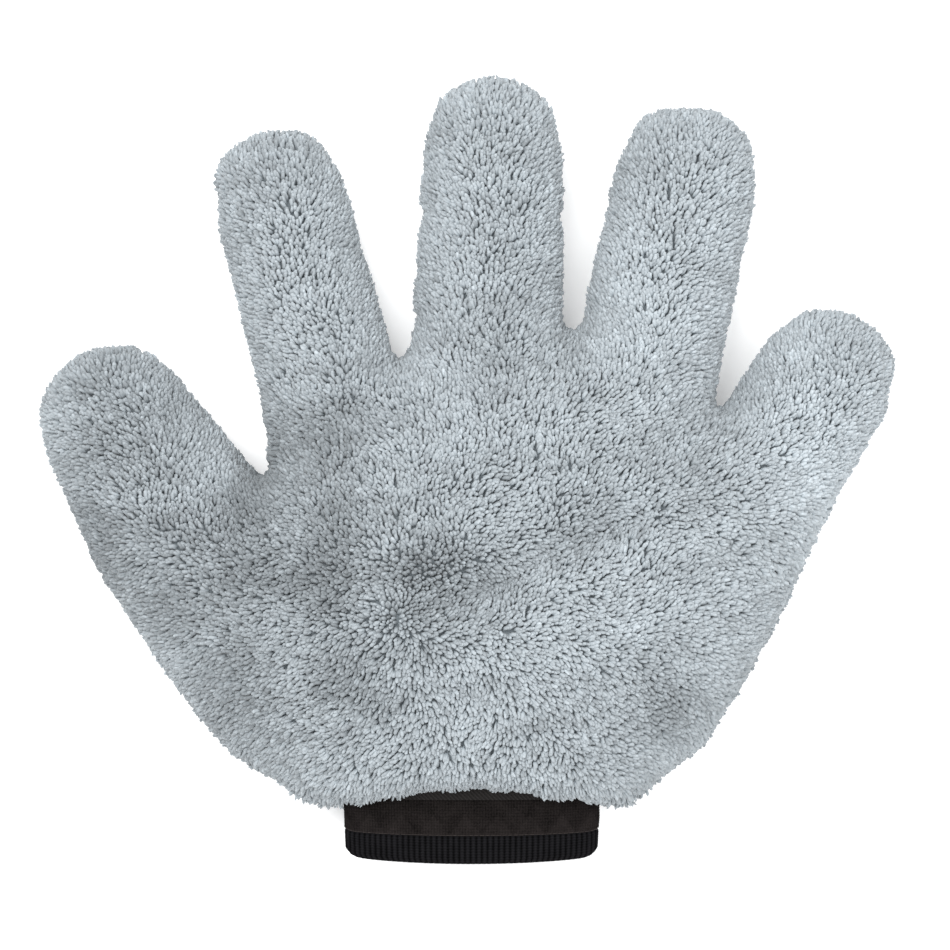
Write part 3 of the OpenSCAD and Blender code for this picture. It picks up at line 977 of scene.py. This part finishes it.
def flow_at(points, normals, draw):
    """Unit direction in the backing's plane that each tuft leans towards, and how firmly."""
    flow = (points - PARTING) * (1, 1, 0)
    flow /= np.hypot(np.linalg.norm(flow, axis=1), PARTING_RADIUS)[:, None]
    flow[:, 0] += WAVER * waves(points, WAVER_SIZE, 17)
    flow[:, 1] += WAVER * waves(points, WAVER_SIZE, 18)
    on_digit = np.zeros(len(points))
    for digit in DIGITS:
        along = digit.along(points)
        share = np.abs(digit.across(points)) / digit.half
        mine = smooth_step(*DIGIT_LIE, along) * (1 - smooth_step(1.0, 1.3, share))
        flow = flow * (1 - mine[:, None]) + digit.forward * mine[:, None]
        on_digit = np.maximum(on_digit, mine)
    turn = (TURN * waves(points, WAVER_SIZE, 7) + TURN * waves(points, TURN_SMALL_SIZE, 8)
            + draw.normal(0, TURN_OWN, len(points)))
    cos, sin = np.cos(turn), np.sin(turn)
    flow = np.stack([flow[:, 0] * cos - flow[:, 1] * sin,
                     flow[:, 0] * sin + flow[:, 1] * cos, flow[:, 2]], 1)
    flow, pull = laid_on(flow + OVER_EDGE * normals * (1, 1, 0), normals)
    return flow, smooth_step(0.05, 0.60, pull) * (1 - DIGIT_STAND * on_digit)


def under_digits(middles, part):
    """The places beside the palm's own plush where a curled digit would leave a gap."""
    along = np.max([digit.along(middles) + digit.hinge_reach for digit in DIGITS], axis=0)
    palm = middles[(part == PALM) & (along > 0)]
    tree = KDTree(len(palm))
    for n, place in enumerate(palm):
        tree.insert(place, n)
    tree.balance()
    return np.array([number % 2 == 1 and tree.find(place)[2] < SKIRT
                     for number, place in zip(part, middles)])


# Each tuft's own lean, in radians, and length, width and shade, as shares of the set ones
LEAN = math.radians(72)
LEAN_BY_TONE_AND_SHADE = 0.45
LEAN_OWN = 0.16
LEAST_LEAN = 0.15
LENGTHS = (0.70, 1.25)
WIDTHS = (0.75, 1.25)
SHADE = 0.50
SHADE_OWN = 0.10

# The fringe that hangs over the cuff: where it fades out, how its tufts' length varies, how much
# thinner they are and how far they turn to the cuff
FRINGE = (1.5 * MM, 7 * MM)
FRINGE_SIDES = 0.75
FRINGE_MIDDLE = -0.22
FRINGE_UNEVEN = 0.26
FRINGE_THIN = 0.25
FRINGE_TURN = 1.2

# The back has fewer, wider tufts from this far under the seam
BACK_START = 4 * MM
BACK_SHARE = 0.62
BACK_WIDER = 1.3

# The lowest that any of the plush lies
FLOOR_GAP = 0.25 * MM


class Pile:
    """One tuft for each quad of the backing: its root, lie, size and shade."""

    def __init__(self, shell, s):
        corners = shell.points[shell.quads]
        count = len(corners)
        draw = np.random.default_rng(11)
        u, v = draw.uniform(0.05, 0.95, (2, count, 1))
        self.roots = ((corners[:, 0] * (1 - u) + corners[:, 1] * u) * (1 - v)
                      + (corners[:, 3] * (1 - u) + corners[:, 2] * u) * v)
        self.normals = shell.normals[shell.quads].mean(1)
        self.normals /= np.linalg.norm(self.normals, axis=1)[:, None]
        self.flow, pull = flow_at(self.roots, self.normals, draw)
        tone_and_shade = tone_and_painted_shade_at(self.roots)
        lean = LEAN + LEAN_BY_TONE_AND_SHADE * tone_and_shade + draw.normal(0, LEAN_OWN, count)
        upright = ROOT_LEAN + LEAST_LEAN
        self.lean = np.maximum(upright + (lean - upright) * pull, upright)
        self.length = s.length * draw.uniform(*LENGTHS, count)
        self.width = s.width * draw.uniform(*WIDTHS, count)
        # The shade takes in the spots' painted light and shade, which become the tufts' colour
        self.shade = np.clip(SHADE + tone_and_shade + draw.normal(0, SHADE_OWN, count), 0, 0.999)
        self.hang_over_cuff()
        self.facing = corners.mean(1)[:, 2] > SEAM_Z - BACK_START
        self.kept = self.facing | (draw.uniform(0, 1, count) < BACK_SHARE)
        self.width[~self.facing] *= BACK_WIDER

    def hang_over_cuff(self):
        """Turns the tufts along the hem to the cuff, as an uneven fringe."""
        hem = 1 - smooth_step(*FRINGE, self.roots[:, 1] - hem_line(self.roots[:, 0]))
        share = np.clip((self.roots[:, 0] - CUFF_X) / CUFF_HALF, -1, 1) ** 2
        uneven = waves(self.roots * (1, 0, 0), 11 * MM, 23)
        self.length *= 1 + hem * (FRINGE_SIDES * share + FRINGE_MIDDLE + FRINGE_UNEVEN * uneven)
        self.width *= 1 - FRINGE_THIN * hem
        self.flow[:, 1] -= FRINGE_TURN * hem
        self.flow, _ = laid_on(self.flow, self.normals)

    def add_to(self, build, shape, chosen, sunk):
        """Adds the chosen tufts, sunk this deep."""
        add_tufts(build, shape, (self.roots - self.normals * sunk)[chosen], self.normals[chosen],
                  self.flow[chosen], self.lean[chosen], self.length[chosen], self.width[chosen],
                  self.shade[chosen])


def plush_pieces(middles, part, facing):
    """The plush pieces: name, part, which quads of the backing, and CAD nodes they stand for."""
    palm = (part == PALM) | under_digits(middles, part)
    sides = (("left", middles[:, 0] <= CUFF_X), ("right", middles[:, 0] > CUFF_X))
    thirds = np.quantile(middles[(part == PALM) & facing, 1], (1 / 3, 2 / 3))
    row = np.digitize(middles[:, 1], thirds)
    for n, place in enumerate(("heel", "middle", "front")):
        for side, chosen in sides:
            mine = palm & facing & chosen & (row == n)
            nodes = ["palm_face"] if n == 0 and side == "left" else []
            yield f"palm_face_{place}_{side}_plush", PALM, mine, nodes
    for side, chosen in sides:
        nodes = ["palm_back"] if side == "left" else []
        yield f"palm_back_{side}_plush", PALM, palm & ~facing & chosen, nodes
    for number in range(1, 2 * len(DIGITS) + 1):
        name = part_name(number)
        yield name + "_plush", number, part == number, [name + "_face", name + "_back"]


def build_plush():
    """Makes the plush of the palm and of every digit."""
    shell = plush_backing()
    pile = Pile(shell, bpy.context.scene.glove_plush)
    middles = shell.points[shell.quads].mean(1)
    part = part_at(middles)
    # The backing takes the colour of the tufts' roots, with its painted shade
    root = (0.5 / SHADES, ROOT_MARGIN)
    for name, number, mine, nodes in plush_pieces(middles, part, pile.facing):
        build = Build()
        for layer, sunk in ((mine & (part == number), 0.0), (mine & (part != number), SUNK)):
            if not layer.any():
                continue
            build.add_quads(shell.points - shell.normals * sunk, shell.quads[layer],
                            shade=root, OFBake=root)
            pile.add_to(build, FACE_TUFT, layer & pile.facing, sunk)
            pile.add_to(build, BACK_TUFT, layer & ~pile.facing & pile.kept, sunk)
        for points in build.points:
            points[:, 2] = np.maximum(points[:, 2], FLOOR_GAP)
        piece = build.make(name, plush_look())
        put_on_body(piece, number)
        if nodes:
            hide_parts(*nodes)


LINING_THICKNESS = 0.6 * MM
LINING_CELL = 2.4 * MM


def rim_quads(quads, count):
    """Quads that join the open edges of a layer to the same edges of its copy."""
    edges = np.concatenate([quads[:, [n, (n + 1) % 4]] for n in range(4)])
    _, place, uses = np.unique(np.sort(edges, 1), axis=0, return_index=True, return_counts=True)
    free = edges[place[uses == 1]]
    return np.stack([free[:, 1], free[:, 0], free[:, 0] + count, free[:, 1] + count], 1)


def build_lining():
    """Makes the thin lining of the palm and of every digit."""
    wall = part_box("palm_lining")[0].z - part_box("palm_back")[0].z
    shell = glove_shell(inset=wall, rise=PALM_TOP - SEAM_Z - wall, depth=SEAM_Z - wall,
                        voxel=LINING_CELL, hem=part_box("palm_lining")[0].y, rolled=False)
    middles = shell.points[shell.quads].mean(1)
    part = part_at(middles)
    count = len(shell.points)
    both = np.concatenate([shell.points, shell.points - shell.normals * LINING_THICKNESS])
    places = cells()[(edge_distance() > wall).ravel()]
    place_part = part_at(places)
    for number in range(2 * len(DIGITS) + 1):
        build = Build()
        mine = shell.quads[part == number]
        rim = rim_quads(mine, count)
        build.add_quads(both, np.concatenate([mine, mine[:, ::-1] + count, rim]))
        name = part_name(number)
        piece = build.make(name + "_lining_cloth", lining_look())
        put_on_body(piece, number)
        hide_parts(name + "_lining")


# ---- cuff --------------------------------------------------------------------------------------

# The cuff's end is drawn back at its middle by a share, and again sharply at its corners, and the
# cuff narrows towards its end
END_BOW = 0.08
CORNER = 1.7 * MM
CORNER_POWER = 30
TAPER = 0.018

# Steps round the outline that the cuff's points are spaced along, and points for each rib
LOOP_STEPS = 2881
POINTS_PER_RIB = 8


def cuff_loop(offset, count):
    """X, Z and outward directions of evenly spaced points on a loop round the cuff."""
    turn = np.linspace(0, 2 * math.pi, LOOP_STEPS)
    dome = np.abs(np.sin(turn)) ** DOME_POWER
    x = (CUFF_HALF + offset) * np.cos(turn)
    z = np.where(turn <= math.pi, (CUFF_RISE + offset) * dome,
                 -(CUFF_DEPTH + offset) * np.minimum(1, FLOOR_STEEPNESS * dome))
    step = np.hypot(np.diff(x), np.diff(z))
    run = np.concatenate([[0], np.cumsum(step)])
    at = np.arange(count) * run[-1] / count
    x, z = np.interp(at, run, x), np.interp(at, run, z)
    dx, dz = np.roll(x, -1) - np.roll(x, 1), np.roll(z, -1) - np.roll(z, 1)
    long = np.hypot(dx, dz)
    return x, z, dz / long, -dx / long


def cuff_surface(path, relief, count):
    """A looped surface along a path of (distance from the hem, offset), with a relief."""
    rows = []
    length = HEM_Y - RIB_LOW.y
    for row, (distance, offset) in enumerate(path):
        x, z, nx, nz = cuff_loop(offset, count)
        lift = relief(row, np.arange(count) / count)
        share = max(distance, 0) / length
        side = np.abs(x) / (CUFF_HALF + offset)
        y = HEM_Y - distance * (1 - END_BOW * side ** 2) + CORNER * share * side ** CORNER_POWER
        x = CUFF_X + (x + nx * lift) * (1 - TAPER * share)
        rows.append(np.stack([x, y, SEAM_Z + z + nz * lift], 1))
    return np.array(rows)


def add_surface(build, rows, along):
    """Adds a surface of looped rows whose last row meets its first. Its pattern map runs from 0 to
    1 round the cuff, and by these distances from row to row, in millimetres."""
    count, columns = rows.shape[:2]
    ids = np.arange(count * columns).reshape(count, columns)
    ids = np.concatenate([ids, ids[:1]])
    ids = np.concatenate([ids, ids[:, :1]], 1)
    corners = corners_of(ids).reshape(-1)
    share, row = np.meshgrid(np.arange(columns + 1) / columns, np.arange(count + 1) / count)
    run = np.concatenate([along, along[:1]]) / MM
    run = np.broadcast_to(run[:, None], share.shape)
    pattern = np.stack([corners_of(share).ravel(), corners_of(run).ravel()], 1)
    flat = np.stack([corners_of(share).ravel(), corners_of(row).ravel()], 1)
    build.add(rows.reshape(-1, 3), corners, np.full(len(corners) // 4, 4),
              pattern=pattern, OFBake=flat)


def make_cuff_piece(name, look, rows, along):
    """Makes a piece of the cuff from its surface."""
    build = Build()
    add_surface(build, rows, along)
    piece = build.make(name, look)
    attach(piece, "palm")
    return piece


BAND_THICKNESS = 1.5 * MM
RIB_HALF = 1.45 * MM
JOIN_LAP = 0.05 * MM
ELASTIC_DEPTHS = (1.05 * MM, 1.75 * MM)
STITCH_RADIUS = 0.15 * MM


def build_cuff_band():
    """Makes the knitted band."""
    s = bpy.context.scene.glove_cuff
    top, bottom = HEM_Y - BAND_HIGH.y, HEM_Y - RIB_HIGH.y - JOIN_LAP
    outer = np.arange(top, bottom, 0.22 * MM)
    inner = np.linspace(bottom, top, 10)
    path = [(d, 0.30 * MM) for d in outer] + [(d, -BAND_THICKNESS) for d in inner]

    def relief(row, share):
        if row >= len(outer):
            return 0 * share
        wale = np.abs(np.sin(math.pi * share * s.rib_count * 2))
        distance = outer[row]
        loops = np.sin(2 * math.pi * (distance / BAND_COURSE + 0.28 * wale))
        place = np.stack([share, 0 * share + distance, 0 * share], 1)
        soft = waves(place * (0.19, 1, 1), 9 * MM, 21)
        return -0.16 * MM * (1 - wale) - 0.05 * MM * (1 - loops) + 0.12 * MM * (soft - 1)

    rows = cuff_surface(path, relief, POINTS_PER_RIB * s.rib_count)
    piece = make_cuff_piece("cuff_band_knit", band_look(), rows,
                            np.array([d for d, _ in path]) - bottom)
    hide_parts("cuff_knit_band")


def build_cuff_hem():
    """Makes the ribbed hem, folded double round the elastic."""
    s = bpy.context.scene.glove_cuff
    half = RIB_HALF
    top, bottom = HEM_Y - RIB_HIGH.y + JOIN_LAP, HEM_Y - RIB_LOW.y
    outer = np.arange(top, bottom - half, 0.24 * MM)
    fold = np.linspace(0, math.pi, 13)[1:]
    inner = np.linspace(bottom - half, top, 16)[1:]
    path = ([(d, 0.25 * MM) for d in outer]
            + [(bottom - half + half * math.sin(a), -half + half * math.cos(a)) for a in fold]
            + [(d, -2 * half) for d in inner])
    reach = np.cumsum([0.0] + [math.dist(a, b) for a, b in zip(path[:-1], path[1:])])

    def relief(row, share):
        rib = np.abs(np.cos(math.pi * share * s.rib_count)) ** 0.7
        loops = np.sin(2 * math.pi * (reach[row] / RIB_COURSE + 0.3 * rib))
        tuck = math.exp(-((reach[row] - 0.3 * MM) / (0.5 * MM)) ** 2)
        return -s.rib_depth * (1 - rib) - 0.045 * MM * (1 - loops) - 0.30 * MM * tuck

    rows = cuff_surface(path, relief, POINTS_PER_RIB * s.rib_count)
    piece = make_cuff_piece("cuff_hem_rib", rib_look(), rows, reach)
    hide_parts("cuff_rib_hem")


def build_cuff_elastic():
    """Makes the gathered elastic inside the folded rib hem."""
    low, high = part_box("cuff_elastic")
    top, bottom = HEM_Y - high.y, HEM_Y - low.y
    outer = np.linspace(top, bottom, 28)
    near, far = ELASTIC_DEPTHS
    path = [(d, -near) for d in outer] + [(d, -far) for d in outer[::-1]]

    def relief(row, share):
        cord = np.sin(2 * math.pi * path[row][0] / MM)
        gather = np.sin(2 * math.pi * share * 70)
        return 0.07 * MM * cord + 0.08 * MM * gather

    piece = make_cuff_piece("cuff_elastic_band", elastic_look(),
                            cuff_surface(path, relief, 560), np.array([d for d, _ in path]))
    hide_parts("cuff_elastic")


def build_cuff_thread():
    """Makes the row of stitches that shows where the rib hem joins the band."""
    s = bpy.context.scene.glove_cuff
    columns = 16 * s.rib_count
    distance = HEM_Y - RIB_HIGH.y - 0.25 * MM
    centre = cuff_surface([(distance, 0.12 * MM)], lambda row, share: 0 * share, columns)[0]
    share = np.arange(columns) / columns
    stitch = np.abs(np.sin(math.pi * share * s.rib_count))
    _, _, nx, nz = cuff_loop(0.0, columns)
    out = np.stack([nx, 0 * nx, nz], 1)
    along = np.roll(centre, -1, 0) - np.roll(centre, 1, 0)
    along /= np.linalg.norm(along, axis=1)[:, None]
    across = np.cross(along, out)
    rows = []
    sunk = 0.26 * MM * (1 - stitch[:, None] ** 0.5)
    for a in 2 * math.pi * np.arange(6) / 6:
        rows.append(centre + out * (STITCH_RADIUS * math.sin(a) - sunk)
                    + across * STITCH_RADIUS * math.cos(a))
    make_cuff_piece("cuff_join_thread", stitch_look(), np.array(rows),
                    np.arange(len(rows)) * MM)


def finish_sewing():
    """Gives the seams, which keep their CAD shapes, their threads."""
    s = bpy.context.scene.glove_sewing
    for name, node in frame["nodes"].items():
        if not node.hide_render:
            look = (thread_look("black_thread", tuple(s.cuff_thread_colour))
                    if name.startswith("cuff") else
                    thread_look("overlock_thread", tuple(s.thread_colour)))
            node.data.materials.clear()
            node.data.materials.append(look)


# ---- stage -------------------------------------------------------------------------------------

def area_light(name, place, target, size, power):
    light = bpy.data.lights.new(name, "AREA")
    light.shape = "DISK"
    light.size = size
    light.energy = power
    lamp = bpy.data.objects.new(name, light)
    lamp.location = place
    lamp.rotation_euler = (Vector(target) - Vector(place)).to_track_quat("-Z", "Y").to_euler()
    bpy.context.scene.collection.objects.link(lamp)


def build_stage():
    """Makes the floor, the lights and the camera."""
    s = bpy.context.scene.glove_stage
    scene = bpy.context.scene
    mesh = bpy.data.meshes.new("floor")
    mesh.from_pydata([(-3, -3, 0), (3, -3, 0), (3, 3, 0), (-3, 3, 0)], [], [(0, 1, 2, 3)])
    floor = bpy.data.objects.new("floor", mesh)
    scene.collection.objects.link(floor)
    look = Look("pale_floor", Roughness=0.9, Emission_Strength=0.25)
    grain = look.noise(look.object_place(), 6.0, 2.0)
    colour = look.mix(grain, rgba(s.floor_colour, 0.985), rgba(s.floor_colour))
    look.feed("Base Color", colour)
    look.feed("Emission Color", colour)
    mesh.materials.append(look.material)
    floor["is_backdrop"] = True
    world = bpy.data.worlds.new("studio")
    world.use_nodes = True
    world.node_tree.nodes["Background"].inputs["Color"].default_value = (1, 1, 1, 1)
    world.node_tree.nodes["Background"].inputs["Strength"].default_value = 1.0
    scene.world = world
    area_light("key", (-0.45, 0.50, 1.2), (0, 0, 0), 0.9, 13.0)
    area_light("fill", (0.55, -0.35, 1.3), (0, 0, 0), 1.2, 8.0)
    scene.view_settings.view_transform = "Standard"
    lens = bpy.data.cameras.new("camera")
    camera = bpy.data.objects.new("camera", lens)
    scene.collection.objects.link(camera)
    centre = (CAD_BOX[0] + CAD_BOX[1]) / 2
    camera.location = (centre.x + 2.4 * MM, centre.y - 0.9 * MM, s.camera_height)
    lens.sensor_width = 36.0
    lens.lens = 36.0 * (s.camera_height - centre.z) / s.view_width
    lens.clip_end = 50.0
    scene.camera = camera


# ---- operators ---------------------------------------------------------------------------------

class GLOVE_OT_stage(bpy.types.Operator):
    """Make the floor, the lights and the camera"""

    bl_idname = "glove.stage"
    bl_label = "Stage"

    def execute(self, context):
        build_stage()
        return {"FINISHED"}


class GLOVE_OT_plush(bpy.types.Operator):
    """Make the plush of the palm and of every digit"""

    bl_idname = "glove.plush"
    bl_label = "Plush"

    def execute(self, context):
        build_plush()
        return {"FINISHED"}


class GLOVE_OT_lining(bpy.types.Operator):
    """Make the lining of the palm and of every digit"""

    bl_idname = "glove.lining"
    bl_label = "Lining"

    def execute(self, context):
        build_lining()
        return {"FINISHED"}


class GLOVE_OT_cuff(bpy.types.Operator):
    """Make the knitted band, the rib hem, its elastic and the stitches of the join"""

    bl_idname = "glove.cuff"
    bl_label = "Cuff"

    def execute(self, context):
        build_cuff_band()
        build_cuff_hem()
        build_cuff_elastic()
        build_cuff_thread()
        return {"FINISHED"}


class GLOVE_OT_sewing(bpy.types.Operator):
    """Give the seams their threads"""

    bl_idname = "glove.sewing"
    bl_label = "Seams"

    def execute(self, context):
        finish_sewing()
        return {"FINISHED"}


class GLOVE_PT_panel(bpy.types.Panel):
    """Lists the glove's pieces and their settings"""

    bl_label = "Wash glove"
    bl_idname = "GLOVE_PT_panel"
    bl_space_type = "VIEW_3D"
    bl_region_type = "UI"
    bl_category = "Wash glove"

    def draw(self, context):
        for operator in OPERATORS:
            self.layout.operator(operator.bl_idname)
        for group in SETTINGS:
            settings = getattr(context.scene, group)
            for prop in settings.bl_rna.properties:
                if prop.identifier not in ("rna_type", "name"):
                    self.layout.prop(settings, prop.identifier)


OPERATORS = (GLOVE_OT_stage, GLOVE_OT_plush, GLOVE_OT_lining, GLOVE_OT_cuff, GLOVE_OT_sewing)
SETTINGS = {
    "glove_plush": PlushSettings,
    "glove_cuff": CuffSettings,
    "glove_sewing": SewingSettings,
    "glove_stage": StageSettings,
}


def register():
    for made in (*SETTINGS.values(), *OPERATORS, GLOVE_PT_panel):
        bpy.utils.register_class(made)
    for name, group in SETTINGS.items():
        setattr(bpy.types.Scene, name, bpy.props.PointerProperty(type=group))


def unregister():
    for name in SETTINGS:
        delattr(bpy.types.Scene, name)
    for made in (GLOVE_PT_panel, *OPERATORS, *SETTINGS.values()):
        bpy.utils.unregister_class(made)


def main():
    register()
    bpy.ops.glove.stage()
    bpy.ops.glove.plush()
    bpy.ops.glove.lining()
    bpy.ops.glove.cuff()
    bpy.ops.glove.sewing()
    boxes = {"cad": CAD_BOX, "visual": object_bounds()}
    {name: [list(corner) for corner in box] for name, box in boxes.items()}


if __name__ == "__main__":
    main()
